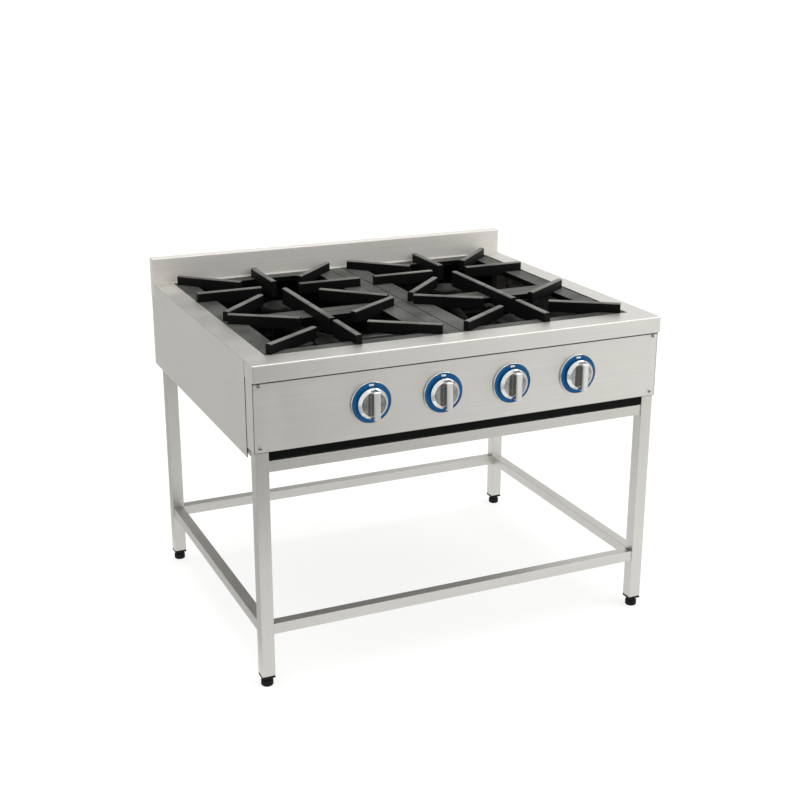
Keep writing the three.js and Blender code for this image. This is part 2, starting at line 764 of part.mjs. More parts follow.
// A welded ladder of channels between the side panels.
function makeRack() {
  const half = HALF - SHEET - GAP;
  const b = RACK_BAR / 2;
  const t = RACK_SHEET;
  let rack = null;
  for (const row of Object.values(ROWS)) {
    const web = box(-half, half, row.y - b, row.y + b, RACK_Z - t, RACK_Z);
    const front = box(-half, half, row.y - b, row.y - b + t, RACK_Z - RACK_TURN, RACK_Z);
    const back = box(-half, half, row.y + b - t, row.y + b, RACK_Z - RACK_TURN, RACK_Z);
    const bar = union(web, front, back);
    rack = rack ? rack.add(bar) : bar;
  }
  for (const s of Object.values(SIDES)) {
    const x = s * (HALF - RACK_TIE_INSET);
    rack = rack.add(box(x - b / 2, x + b / 2, ROWS.front.y, ROWS.rear.y, RACK_Z - t, RACK_Z));
  }
  add("burner_rack", rack, enamel);
}

// ---------------------------------------------------------------------------
// Taps, spindles, bezels and knobs along the control panel, and the gas pipe behind
// ---------------------------------------------------------------------------

function makeTaps() {
  for (let i = 0; i < 4; i += 1) {
    const x = knobX(i);
    const n = "_" + (i + 1);
    const panelBack = PANEL_RECESS + SHEET + GAP;
    const bodyFront = PANEL_RECESS + TAP_SETBACK;
    const bodyBack = PIPE_Y - PIPE_R - GAP;
    const block = box(x - 12, x + 12, bodyFront, bodyBack, PIPE_Z - 8, JET_Z + 8);
    const collar = rod("y", 10, panelBack, bodyFront + 1, x, KNOB_Z, 20);
    const jet = rod("y", 6, bodyBack - 1, JET_REACH, x, JET_Z, 12);
    const bore = rod("y", SPINDLE_R + SPINDLE_CLEAR, panelBack - 1, bodyBack - 8, x, KNOB_Z, 20);
    add("tap_body" + n, union(block, collar, jet).subtract(bore), brass);
    add("tap_spindle" + n, rod("y", SPINDLE_R, SPINDLE_TIP, bodyBack - 9, x, KNOB_Z, 20), brass);
    makeBezel(x, n);
    makeKnob(x, n);
  }
}

function makeBezel(x, n) {
  const back = PANEL_RECESS - GAP;
  const front = back - BEZEL_THICK;
  const profile = [
    [SPINDLE_R + 2, front + 1.2],
    [BEZEL_R - 14, front + 1.2],
    [BEZEL_R - 13, front],
    [BEZEL_R - 1, front],
    [BEZEL_R, front + 1],
    [BEZEL_R, back],
    [SPINDLE_R + 2, back],
    [SPINDLE_R + 2, front + 1.2],
  ];
  add("knob_bezel" + n, turnedAlongY(profile, x, KNOB_Z, 32), bluePlastic);
}

function makeKnob(x, n) {
  const face = KNOB_BACK - KNOB_SKIRT;
  const profile = [
    [0, face],
    [KNOB_FACE_R, face],
    [KNOB_R - 1, KNOB_BACK - 3.5],
    [KNOB_R, KNOB_BACK - 2.5],
    [KNOB_R, KNOB_BACK],
    [0, KNOB_BACK],
  ];
  const skirt = turnedAlongY(profile, x, KNOB_Z, 32);
  const w = GRIP_WIDTH / 2;
  const section = new THREE.Shape([
    new THREE.Vector2(-w, face + 2),
    new THREE.Vector2(-w + 0.6, KNOB_FRONT + 2),
    new THREE.Vector2(-w + 2.4, KNOB_FRONT),
    new THREE.Vector2(w - 2.4, KNOB_FRONT),
    new THREE.Vector2(w - 0.6, KNOB_FRONT + 2),
    new THREE.Vector2(w, face + 2),
  ]);
  const bar = new THREE.ExtrudeGeometry(section, { depth: 2 * GRIP_R, bevelEnabled: false });
  bar.translate(x, 0, KNOB_Z - GRIP_R);
  const round = turnedAlongY(
    [
      [0, KNOB_FRONT - 1],
      [GRIP_R - 3, KNOB_FRONT - 1],
      [GRIP_R - 0.5, KNOB_FRONT + 3],
      [GRIP_R, face + 3],
      [0, face + 3],
    ],
    x,
    KNOB_Z,
    32,
  );
  const grip = solid(bar).intersect(round);
  const boreEnd = SPINDLE_TIP - KNOB_TRAVEL - 1;
  const bore = rod("y", SPINDLE_R + SPINDLE_CLEAR, boreEnd, KNOB_BACK + 1, x, KNOB_Z, 20);
  add("knob" + n, skirt.add(grip).subtract(bore), chrome);
}

// The supply pipe: along behind the panel, then back through the rear panel to its threaded end.
function makePipe() {
  const left = knobX(0) - 60;
  const end = DEPTH - 2;
  const hexAt = SPLASH_Y + 1;
  const across = rod("x", PIPE_R, left, INLET_X + PIPE_R * 0.6, PIPE_Y, PIPE_Z, 16);
  const branch = rod("y", PIPE_R, PIPE_Y, end, INLET_X, PIPE_Z, 16);
  const nut = rod("y", PIPE_R + 3.5, hexAt, hexAt + 10, INLET_X, PIPE_Z, 6);
  const boreAcross = rod("x", PIPE_BORE, left + 4, INLET_X, PIPE_Y, PIPE_Z, 16);
  const boreBranch = rod("y", PIPE_BORE, PIPE_Y, end + 1, INLET_X, PIPE_Z, 16);
  const pipe = union(across, branch, nut).subtract(boreAcross.add(boreBranch));
  add("gas_manifold", pipe, galvanised);
}

makeWorktop();
makeSplashback();
makeSidePanels();
makeRearPanel();
makeControlPanel();
makeLegs();
makeRails();
makeTray();
makeGrates();
makeCentreBar();
makeBurners();
makeRack();
makeTaps();
makePipe();

export default group;
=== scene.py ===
import math

import bmesh
import bpy
from mathutils import Matrix, Vector


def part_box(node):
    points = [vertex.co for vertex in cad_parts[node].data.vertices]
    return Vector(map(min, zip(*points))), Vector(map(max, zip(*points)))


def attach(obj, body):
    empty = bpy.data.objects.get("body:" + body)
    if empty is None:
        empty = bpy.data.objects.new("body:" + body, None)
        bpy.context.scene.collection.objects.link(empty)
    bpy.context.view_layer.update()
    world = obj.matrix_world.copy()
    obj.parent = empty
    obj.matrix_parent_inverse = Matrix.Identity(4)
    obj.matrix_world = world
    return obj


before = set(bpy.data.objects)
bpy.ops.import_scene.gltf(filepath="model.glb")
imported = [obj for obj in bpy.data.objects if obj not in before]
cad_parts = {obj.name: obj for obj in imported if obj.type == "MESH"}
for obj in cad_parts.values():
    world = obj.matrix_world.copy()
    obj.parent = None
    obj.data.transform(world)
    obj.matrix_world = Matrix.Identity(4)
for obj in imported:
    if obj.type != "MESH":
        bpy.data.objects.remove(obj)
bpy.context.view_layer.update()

scene = bpy.context.scene
ROOT = "chassis"

top_lo, top_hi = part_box("worktop")
panel_lo, panel_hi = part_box("control_panel")
rear_lo, rear_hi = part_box("rear_panel")
splash_lo, splash_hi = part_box("splashback")


# ---------------------------------------------------------------------------
# Materials
# ---------------------------------------------------------------------------


def toned(colour, by):
    """A colour with each channel multiplied by one number."""
    return tuple(channel * by for channel in colour)


class Graph:
    """One material's node tree, with short ways to add the nodes used here."""

    def __init__(self, name):
        self.material = bpy.data.materials.new(name)
        self.material.use_nodes = True
        self.tree = self.material.node_tree
        self.tree.nodes.clear()
        self.out = self.add("ShaderNodeOutputMaterial")
        self.shader = self.add("ShaderNodeBsdfPrincipled")
        self.link(self.shader.outputs["BSDF"], self.out.inputs["Surface"])
        coords = self.add("ShaderNodeTexCoord").outputs
        self.coord = coords["Object"]
        self.facing = coords["Normal"]

    def add(self, kind):
        return self.tree.nodes.new(kind)

    def link(self, a, b):
        self.tree.links.new(a, b)

    def feed(self, socket, value):
        """Links an output to a socket, or gives the socket a fixed value."""
        if hasattr(value, "links"):
            self.link(value, socket)
        else:
            socket.default_value = value

    def set(self, **values):
        for key, value in values.items():
            self.shader.inputs[key.replace("_", " ")].default_value = value

    def scaled(self, scale):
        m = self.add("ShaderNodeMapping")
        m.inputs["Scale"].default_value = scale
        self.link(self.coord, m.inputs["Vector"])
        return m.outputs["Vector"]

    def noise(self, scale, detail=3.0, rough=0.5, vector=None, distortion=0.0):
        n = self.add("ShaderNodeTexNoise")
        n.inputs["Scale"].default_value = scale
        n.inputs["Detail"].default_value = detail
        n.inputs["Roughness"].default_value = rough
        n.inputs["Distortion"].default_value = distortion
        self.link(vector or self.coord, n.inputs["Vector"])
        return n.outputs["Fac"]

    def cells(self, scale):
        """The grey shade of irregular cells, each with its own shade."""
        n = self.add("ShaderNodeTexVoronoi")
        n.inputs["Scale"].default_value = scale
        self.link(self.coord, n.inputs["Vector"])
        grey = self.add("ShaderNodeRGBToBW")
        self.link(n.outputs["Color"], grey.inputs[0])
        return grey.outputs[0]

    def split(self, vector):
        """A vector's X, Y and Z outputs."""
        n = self.add("ShaderNodeSeparateXYZ")
        self.link(vector, n.inputs[0])
        return n.outputs

    def ramp(self, value, *stops):
        """Each stop is (place, colour or grey)."""
        r = self.add("ShaderNodeValToRGB")
        self.link(value, r.inputs["Fac"])
        e = r.color_ramp.elements
        while len(e) < len(stops):
            e.new(0.5)
        for item, (place, colour) in zip(e, stops):
            item.position = place
            if isinstance(colour, (int, float)):
                colour = (colour, colour, colour)
            item.color = (*colour, 1.0)
        return r.outputs["Color"]

    def blend(self, a, b, factor=1.0, mode="MULTIPLY"):
        m = self.add("ShaderNodeMix")
        m.data_type = "RGBA"
        m.blend_type = mode
        # a mix node keeps its two colours in sockets 6 and 7, and its colour result in output 2
        for socket, value in zip((m.inputs["Factor"], m.inputs[6], m.inputs[7]), (factor, a, b)):
            self.feed(socket, value)
        return m.outputs[2]

    def sums(self, a, b, mode="ADD"):
        m = self.add("ShaderNodeMath")
        m.operation = mode
        for socket, value in zip(m.inputs, (a, b)):
            self.feed(socket, value)
        return m.outputs[0]

    def bumps(self, *layers):
        """Each layer is (height, strength, distance in metres)."""
        normal = None
        for height, strength, distance in layers:
            b = self.add("ShaderNodeBump")
            b.inputs["Strength"].default_value = strength
            b.inputs["Distance"].default_value = distance
            self.link(height, b.inputs["Height"])
            if normal:
                self.link(normal, b.inputs["Normal"])
            normal = b.outputs["Normal"]
        self.link(normal, self.shader.inputs["Normal"])

    def colour(self, socket):
        self.link(socket, self.shader.inputs["Base Color"])

    def roughness(self, socket):
        self.link(socket, self.shader.inputs["Roughness"])


def brushed_steel(name, axis, tone, rough=0.4, grain=620.0, joints=()):
    """Satin sheet or tube: fine brush lines along one axis, broad cloudiness and faint smudges.

    Each joint is (axis, place, width, before): painted shade within that width of an open joint,
    and, unless before is None, only on the faces in front of that depth.
    """
    g = Graph(name)
    fine = [grain, grain, grain]
    fine["xyz".index(axis)] = 2.2
    coarse = [grain / 5, grain / 5, grain / 5]
    coarse["xyz".index(axis)] = 1.1
    lines = g.noise(1.0, 3.0, 0.6, g.scaled(fine))
    streaks = g.noise(1.0, 2.0, 0.55, g.scaled(coarse))
    cloud = g.noise(2.6, 2.0, 0.5)
    smudge = g.noise(11.0, 4.0, 0.62, distortion=0.6)
    base = g.ramp(lines, (0.3, toned(tone, 0.955)), (0.7, toned(tone, 1.035)))
    base = g.blend(base, g.ramp(streaks, (0.3, 0.985), (0.7, 1.0)))
    base = g.blend(base, g.ramp(cloud, (0.25, (0.955, 0.95, 0.935)), (0.75, (1.0, 1.0, 1.0))))
    place = g.split(g.coord) if joints else None
    for along, where, width, before in joints:
        # painted shade: the colour darkens within each joint's width
        away = g.sums(g.sums(place[along], where, "SUBTRACT"), 0.0, "ABSOLUTE")
        shade = g.ramp(g.sums(away, 1.0 / width, "MULTIPLY"), (0.55, 0.1), (1.0, 1.0))
        if before is not None:
            shade = g.sums(shade, g.sums(place["Y"], before, "GREATER_THAN"), "MAXIMUM")
        base = g.blend(base, shade)
    g.colour(base)
    sheen_and_wear = g.ramp(smudge, (0.42, rough), (0.72, rough + 0.07))
    g.roughness(g.sums(sheen_and_wear, g.ramp(lines, (0.3, 0.0), (0.75, 0.06))))
    g.set(Metallic=1.0)
    g.bumps((lines, 0.16, 0.00012), (streaks, 0.02, 0.0003))
    return g.material


def cast_iron(name, dark, light, sheen_and_wear, rough, spec, high=None):
    """Sand-cast iron: a pebbled skin, darker pits, and level faces painted a little paler, a painted sheen
    with some wear.

    Above the height given as high, where pans slide, those faces are painted paler still, a painted sheen
    with pan wear.
    """
    g = Graph(name)
    grit = g.noise(520.0, 6.0, 0.62)
    pits = g.noise(150.0, 4.0, 0.6)
    cloud = g.noise(9.0, 3.0, 0.55)
    base = g.ramp(grit, (0.3, dark), (0.72, light))
    base = g.blend(base, g.ramp(cloud, (0.3, (0.74, 0.72, 0.69)), (0.7, (1.0, 1.0, 1.0))))
    base = g.blend(base, g.ramp(pits, (0.28, 0.5), (0.4, 1.0)))
    # painted sheen with some wear: faces and chamfers facing up are made paler
    level = g.ramp(g.split(g.facing)["Z"], (0.5, 0.0), (0.7, 1.0))
    wear_sheen_mask = g.blend(level, g.ramp(cloud, (0.35, 0.45), (0.65, 1.0)))
    base = g.blend(base, (*sheen_and_wear, 1.0), wear_sheen_mask, "ADD")
    if high is not None:
        top_wear_sheen = g.sums(g.sums(g.split(g.coord)["Z"], high, "GREATER_THAN"), wear_sheen_mask, "MULTIPLY")
        base = g.blend(base, (*sheen_and_wear, 1.0), top_wear_sheen, "ADD")
    g.colour(base)
    smooth, coarse = rough
    skin = g.ramp(grit, (0.3, coarse), (0.7, smooth))
    g.roughness(g.sums(skin, g.ramp(wear_sheen_mask, (0.0, 0.0), (1.0, 0.1)), "SUBTRACT"))
    g.set(Metallic=0.0, Specular_IOR_Level=spec)
    g.bumps((grit, 0.55, 0.00035), (pits, 0.35, 0.0006))
    return g.material


def enamel():
    """Gloss black stove enamel with a faint orange peel and dust-fine specks."""
    g = Graph("black_enamel")
    peel = g.noise(160.0, 2.0, 0.5)
    specks = g.noise(900.0, 2.0, 0.7)
    haze = g.noise(14.0, 4.0, 0.6)
    base = g.ramp(specks, (0.62, (0.0026, 0.003, 0.0028)), (0.78, (0.009, 0.0095, 0.009)))
    g.colour(base)
    g.roughness(g.ramp(haze, (0.35, 0.24), (0.75, 0.4)))
    g.set(Specular_IOR_Level=0.07)
    g.bumps((peel, 0.12, 0.0003),)
    return g.material


def brass():
    """Turned brass, tarnished in patches."""
    g = Graph("machined_brass")
    turned = g.noise(1.0, 3.0, 0.5, g.scaled((300.0, 900.0, 300.0)))
    tarnish = g.noise(45.0, 4.0, 0.6)
    base = g.ramp(turned, (0.3, (0.5, 0.33, 0.12)), (0.7, (0.66, 0.47, 0.2)))
    g.colour(g.blend(base, g.ramp(tarnish, (0.35, (0.62, 0.55, 0.45)), (0.65, (1.0, 1.0, 1.0)))))
    g.roughness(g.ramp(tarnish, (0.3, 0.5), (0.7, 0.26)))
    g.set(Metallic=1.0)
    g.bumps((turned, 0.2, 0.0001),)
    return g.material


def zinc(name, shaded_front=False):
    """Hot-dip zinc: angular spangle, dull, with white bloom; painted shade blackens the faces to the front.
    """
    g = Graph(name)
    spangle = g.cells(110.0)
    bloom = g.noise(24.0, 5.0, 0.6)
    base = g.ramp(spangle, (0.2, (0.4, 0.41, 0.42)), (0.8, (0.56, 0.57, 0.57)))
    base = g.blend(base, g.ramp(bloom, (0.35, 0.86), (0.7, 1.0)))
    # painted shade: faces turned to the front, into the range, are darkened
    if shaded_front:
        behind = g.ramp(g.sums(g.split(g.facing)["Y"], 1.0), (0.2, 0.05), (0.6, 1.0))
        base = g.blend(base, behind)
    g.colour(base)
    g.roughness(g.ramp(spangle, (0.2, 0.36), (0.8, 0.56)))
    g.set(Metallic=1.0)
    g.bumps((bloom, 0.12, 0.0003),)
    return g.material


def plated(name, axis, satin_before=None, tone=1.0):
    """Chrome plate over a die casting: fine polish lines and faint handling marks.

    Faces in front of the depth given as satin_before are satin.
    """
    g = Graph(name)
    scale = [900.0, 900.0, 900.0]
    scale["xyz".index(axis)] = 12.0
    lines = g.noise(1.0, 3.0, 0.6, g.scaled(scale))
    marks = g.noise(70.0, 4.0, 0.65)
    low = toned((0.66, 0.66, 0.645), tone)
    high = toned((0.8, 0.8, 0.785), tone)
    g.colour(g.ramp(lines, (0.3, low), (0.7, high)))
    rough = g.sums(g.ramp(marks, (0.4, 0.1), (0.75, 0.16)), g.ramp(lines, (0.3, 0.0), (0.7, 0.05)))
    if satin_before is not None:
        front = g.sums(g.split(g.coord)["Y"], satin_before, "LESS_THAN")
        rough = g.sums(rough, g.sums(front, 0.24, "MULTIPLY"))
    g.roughness(rough)
    g.set(Metallic=1.0)
    g.bumps((lines, 0.12, 0.00006),)
    return g.material


def plastic(name, dark, light, rough, spec, grain=900.0):
    """Moulded plastic: spark-eroded grain, flow marks and a slight shade change."""
    g = Graph(name)
    fine = g.noise(grain, 4.0, 0.6)
    flow = g.noise(36.0, 3.0, 0.5, distortion=1.2)
    g.colour(g.ramp(flow, (0.3, dark), (0.7, light)))
    sheen = g.ramp(flow, (0.3, rough), (0.7, rough + 0.1))
    g.roughness(g.sums(sheen, g.ramp(fine, (0.3, 0.0), (0.7, 0.06))))
    g.set(Specular_IOR_Level=spec)
    g.bumps((fine, 0.14, 0.0001),)
    return g.material


def weld_metal():
    """Weld metal with straw and blue heat tints."""
    g = Graph("weld_bead")
    ripple = g.noise(420.0, 3.0, 0.5)
    tint = g.noise(60.0, 3.0, 0.5)
    straw, plain, blue = (0.42, 0.39, 0.34), (0.56, 0.54, 0.5), (0.46, 0.46, 0.48)
    g.colour(g.ramp(tint, (0.3, straw), (0.5, plain), (0.7, blue)))
    g.roughness(g.ramp(ripple, (0.3, 0.34), (0.7, 0.5)))
    g.set(Metallic=1.0)
    g.bumps((ripple, 0.3, 0.0002),)
    return g.material


STEEL = (0.70, 0.69, 0.665)
# the tube tone is the sheet steel darkened as painted shade for the legs and rails
TUBE_STEEL_SHADED = (0.615, 0.605, 0.58)
# the splashback tone is the sheet steel lightened as painted light
SPLASH_STEEL_LIT = (0.79, 0.78, 0.755)
sheet = {axis: brushed_steel(f"stainless_brushed_{axis}", axis, STEEL) for axis in "xy"}
tube = {axis: brushed_steel(f"tube_brushed_{axis}", axis, TUBE_STEEL_SHADED, 0.38, 420.0) for axis in "xyz"}
splash_steel = brushed_steel("stainless_splashback", "x", SPLASH_STEEL_LIT, 0.72)

# painted shade in the open joints round the control panel's face and along the side panels' front edges
FOLD_GAP = 0.003  # open height between the worktop's fold and the panel
FACE_SKIN = 0.0008  # depth that counts as the panel's face
panel_face = panel_lo.y + FACE_SKIN
panel_shaded_joints = [
    ("Z", top_lo.z - FOLD_GAP, 0.0022, panel_face),
    ("Z", panel_lo.z, 0.0013, panel_face),
    ("X", panel_lo.x, 0.0016, panel_face),
    ("X", panel_hi.x, 0.0016, panel_face),
]
side_shaded_joint = ("Y", panel_hi.y, 0.0016, None)
panel_steel = brushed_steel("stainless_panel", "x", STEEL, 0.42, joints=panel_shaded_joints)
side_steel = brushed_steel("stainless_side", "y", STEEL, joints=[side_shaded_joint])

TOP_SHEEN_DEPTH = 0.003  # how far down the ribs the extra painted sheen and the pans' wear reach
grate_iron = cast_iron(
    "cast_iron_grate",
    dark=(0.0018, 0.0023, 0.002),
    light=(0.0045, 0.0052, 0.0048),
    sheen_and_wear=(0.088, 0.09, 0.084),
    rough=(0.46, 0.62),
    spec=0.1,
    high=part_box("grate_front_left")[1].z - TOP_SHEEN_DEPTH,
)
burner_iron = cast_iron(
    "cast_iron_burner",
    dark=(0.0022, 0.0022, 0.002),
    light=(0.007, 0.0067, 0.006),
    sheen_and_wear=(0.004, 0.004, 0.0035),
    rough=(0.6, 0.75),
    spec=0.08,
)
cap_iron = cast_iron(
    "cast_iron_cap",
    dark=(0.002, 0.0022, 0.002),
    light=(0.006, 0.006, 0.0056),
    sheen_and_wear=(0.008, 0.008, 0.0076),
    rough=(0.55, 0.7),
    spec=0.1,
)
enamel_black = enamel()
brass_turned = brass()
zinc_coat = zinc("zinc_coat")
zinc_shaded_front = zinc("zinc_shaded_front", shaded_front=True)

GRIP_SKIN = 0.0018  # depth of the knob grip's satin front
knob_chrome = plated("chrome_satin", "z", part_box("knob_1")[0].y + GRIP_SKIN)
rim_chrome = plated("chrome_rim", "y")
screw_steel = plated("screw_steel", "x", tone=0.5)
blue_ring = plastic("blue_ring", (0.0, 0.07, 0.205), (0.003, 0.1, 0.285), 0.34, 0.16)
black_plug = plastic("black_plastic", (0.004, 0.004, 0.004), (0.01, 0.01, 0.01), 0.48, 0.12)
black_foot = plastic("black_foot", (0.004, 0.004, 0.004), (0.011, 0.011, 0.0105), 0.55, 0.12, 500.0)
white_mark = plastic("white_print", (0.72, 0.72, 0.7), (0.82, 0.82, 0.8), 0.4, 0.4)
weld = weld_metal()

# start of a node's name, its material, and the width of its rounded edges in metres,
# None where they stay sharp; the first start that fits a name is used
LOOKS = [
    ("worktop", sheet["x"], 0.0009),
    ("splashback", splash_steel, 0.0009),
    ("control_panel", panel_steel, 0.0007),
    ("side_panel", side_steel, 0.0005),
    ("rear_panel", zinc_shaded_front, 0.0004),
    ("leg_plug", black_plug, 0.0006),
    ("leg", tube["z"], 0.0012),
    ("foot", black_foot, 0.0006),
    ("tray_runner", zinc_coat, 0.0004),
    ("drip_tray", enamel_black, 0.0005),
    ("grate", grate_iron, 0.0012),
    ("burner_rack", enamel_black, 0.0005),
    ("burner_cap", cap_iron, 0.0004),
    ("burner", burner_iron, None),
    ("knob_bezel", blue_ring, 0.0003),
    ("knob", knob_chrome, 0.0006),
    ("tap_body", brass_turned, 0.0006),
    ("tap_spindle", brass_turned, None),
    ("gas_manifold", zinc_coat, 0.0004),
]
RAIL_ROUND = 0.0011


def look_of(name):
    """A node's material and the width of its rounded edges."""
    if "_rail_" in name:
        return tube["x" if name.endswith(("front", "rear")) else "y"], RAIL_ROUND
    return next((material, width) for start, material, width in LOOKS if name.startswith(start))


def dress(name, node):
    """Gives a CAD node its material and rounds its edges."""
    material, width = look_of(name)
    node.data.materials.clear()
    node.data.materials.append(material)
    for face in node.data.polygons:
        face.material_index = 0
    if width is None:
        return
    join = node.modifiers.new("join", "WELD")
    join.merge_threshold = 0.00002
    flat = node.modifiers.new("flat", "DECIMATE")
    flat.decimate_type = "DISSOLVE"
    flat.angle_limit = math.radians(1.0)
    flat.use_dissolve_boundaries = False
    edge = node.modifiers.new("edges", "BEVEL")
    edge.width = width
    edge.segments = 2
    edge.limit_method = "ANGLE"
    edge.angle_limit = math.radians(40)
    edge.harden_normals = True
    edge.use_clamp_overlap = True


for node_name, cad_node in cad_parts.items():
    dress(node_name, cad_node)


# ---------------------------------------------------------------------------
# Screws, bezel rims and bezel marks, which ride on the chassis
# ---------------------------------------------------------------------------


def piece(name, bm, material, body, smooth):
    """Makes bm an object that rides on a body; edges sharper than smooth, in degrees, stay sharp."""
    bmesh.ops.recalc_face_normals(bm, faces=bm.faces)
    mesh = bpy.data.meshes.new(name)
    bm.to_mesh(mesh)
    bm.free()
    made = bpy.data.objects.new(name, mesh)
    scene.collection.objects.link(made)
    mesh.materials.append(material)
    mesh.shade_smooth()
    mesh.set_sharp_from_angle(angle=math.radians(smooth))
    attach(made, body)


def lathe(bm, profile, segments, place):
    """A surface turned about local Z from (radius, height) points; a point on the axis stays one vertex."""
    rings = []
    for r, h in profile:
        if r < 1e-7:
            rings.append([bm.verts.new(place @ Vector((0, 0, h)))])
            continue
        ring = []
        for i in range(segments):
            a = 2 * math.pi * i / segments
            ring.append(bm.verts.new(place @ Vector((r * math.cos(a), r * math.sin(a), h))))
        rings.append(ring)
    for a, b in zip(rings, rings[1:]):
        for i in range(segments):
            j = (i + 1) % segments
            if len(a) == 1:
                bm.faces.new((a[0], b[i], b[j]))
            elif len(b) == 1:
                bm.faces.new((a[i], a[j], b[0]))
            else:
                bm.faces.new((a[i], a[j], b[j], b[i]))
    return rings


def frame_at(origin, out):
    """A place whose local Z points along out."""
    turn = Vector(out).to_track_quat("Z", "Y").to_matrix().to_4x4()
    return Matrix.Translation(origin) @ turn


def screw_into(bm, origin, out, r):
    """A pan-head screw with a cross recess."""
    place = frame_at(origin, out)
    sides = 24
    h = r * 0.72
    head = [(0.0, 0.0), (r, 0.0), (r, h * 0.28), (r * 0.93, h * 0.62), (r * 0.76, h * 0.88), (r * 0.55, h)]
    rim = lathe(bm, head, sides, place)[-1]
    w, arm, deep, taper = r * 0.12, r * 0.46, h * 0.55, 0.8
    cross = [
        (w, w), (arm, w), (arm, -w), (w, -w), (w, -arm), (-w, -arm),
        (-w, -w), (-arm, -w), (-arm, w), (-w, w), (-w, arm), (w, arm),
    ]
    top = [bm.verts.new(place @ Vector((x, y, h))) for x, y in cross]
    low = [bm.verts.new(place @ Vector((x * taper, y * taper, h - deep))) for x, y in cross]
    edges = [bm.edges.get((rim[i], rim[(i + 1) % sides])) for i in range(sides)]
    n = len(cross)
    edges += [bm.edges.new((top[i], top[(i + 1) % n])) for i in range(n)]
    bmesh.ops.triangle_fill(bm, use_beauty=True, edges=edges)
    mouth = set(top)
    inside = [f for f in bm.faces if all(v in mouth for v in f.verts)]
    bmesh.ops.delete(bm, geom=inside, context="FACES_ONLY")
    for i in range(n):
        j = (i + 1) % n
        bm.faces.new((top[i], top[j], low[j], low[i]))
    bm.faces.new(low)


def screws(name, places, out, r):
    """One piece with a screw at each place, heads pointing out."""
    bm = bmesh.new()
    for place in places:
        screw_into(bm, Vector(place), out, r)
    piece(name, bm, screw_steel, ROOT, 35)


# four screws hold the control panel near its corners
FOLD_HEIGHT = 0.038  # the worktop's front fold, just above the panel
PANEL_SCREW_IN = 0.0135
PANEL_SCREW_UP = 0.0105
PANEL_SCREW_UNDER_FOLD = 0.009
panel_heights = (top_hi.z - FOLD_HEIGHT - PANEL_SCREW_UNDER_FOLD, panel_lo.z + PANEL_SCREW_UP)
panel_ends = (panel_lo.x + PANEL_SCREW_IN, panel_hi.x - PANEL_SCREW_IN)
panel_places = [(x, panel_lo.y, z) for x in panel_ends for z in panel_heights]
screws("panel_screws", panel_places, (0, -1, 0), 0.0041)

# the rear panel is screwed on from behind, at its ends and between its vents
REAR_SCREW_IN = 0.03
REAR_SCREW_UP = 0.009
VENT_GAP_STEP = 0.238  # two pitches of the vents
rear_mid = (rear_lo.x + rear_hi.x) / 2
between_vents = [rear_mid - VENT_GAP_STEP, rear_mid, rear_mid + VENT_GAP_STEP]
rear_columns = [rear_lo.x + REAR_SCREW_IN, *between_vents, rear_hi.x - REAR_SCREW_IN]
rear_places = [(x, rear_hi.y, rear_lo.z + REAR_SCREW_UP) for x in rear_columns]
screws("rear_screws", rear_places, (0, 1, 0), 0.0038)


def ring_piece(name, x, z, y, profile, material):
    """A turned ring about Y through (x, z); its profile is (radius, distance forward of y) points."""
    bm = bmesh.new()
    place = Matrix.Translation((x, y, z)) @ Matrix.Rotation(math.pi / 2, 4, "X")
    lathe(bm, profile + [profile[0]], 64, place)
    bmesh.ops.remove_doubles(bm, verts=bm.verts, dist=1e-7)
    piece(name, bm, material, ROOT, 40)


def block(bm, lo, hi, round_by):
    """A small block with rounded edges."""
    made = bmesh.ops.create_cube(bm, size=1.0)["verts"]
    lo, hi = Vector(lo), Vector(hi)
    size = hi - lo
    for v in made:
        v.co = lo + Vector([(v.co[k] + 0.5) * size[k] for k in range(3)])
    edges = list({e for v in made for e in v.link_edges})
    bmesh.ops.bevel(bm, geom=edges, offset=round_by, segments=2, profile=0.6, affect="EDGES")


# a plated rim round each blue ring, and the printed mark above the knob
MARK_HALF_WIDTH = 0.0055
MARK_BELOW_RIM = (0.0087, 0.0045)
MARK_PROUD, MARK_SUNK = 0.0006, 0.0004
for i in range(1, 5):
    lo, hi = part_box(f"knob_bezel_{i}")
    x, z = (lo.x + hi.x) / 2, (lo.z + hi.z) / 2
    r = (hi.x - lo.x) / 2
    rim = [
        (r - 0.0009, 0.0001), (r - 0.0009, 0.0008), (r - 0.0005, 0.0013),
        (r + 0.0003, 0.0013), (r + 0.0011, 0.0006), (r + 0.0014, -0.0006),
        (r + 0.0014, -0.0029), (r + 0.0004, -0.0029), (r + 0.0004, 0.0001),
    ]
    ring_piece(f"bezel_rim_{i}", x, z, lo.y, rim, rim_chrome)
    mark = bmesh.new()
    mark_lo = (x - MARK_HALF_WIDTH, lo.y - MARK_PROUD, z + r - MARK_BELOW_RIM[0])
    mark_hi = (x + MARK_HALF_WIDTH, lo.y + MARK_SUNK, z + r - MARK_BELOW_RIM[1])
    block(mark, mark_lo, mark_hi, 0.0003)
    piece(f"bezel_mark_{i}", mark, white_mark, ROOT, 40)


# ---------------------------------------------------------------------------
# Weld beads where the rails meet the legs, and the dressed beads of the sheet metal
# ---------------------------------------------------------------------------

BEAD_STEP = 0.0022
RAIL_BEAD_R = 0.0009
OFF_THE_END = 0.0001


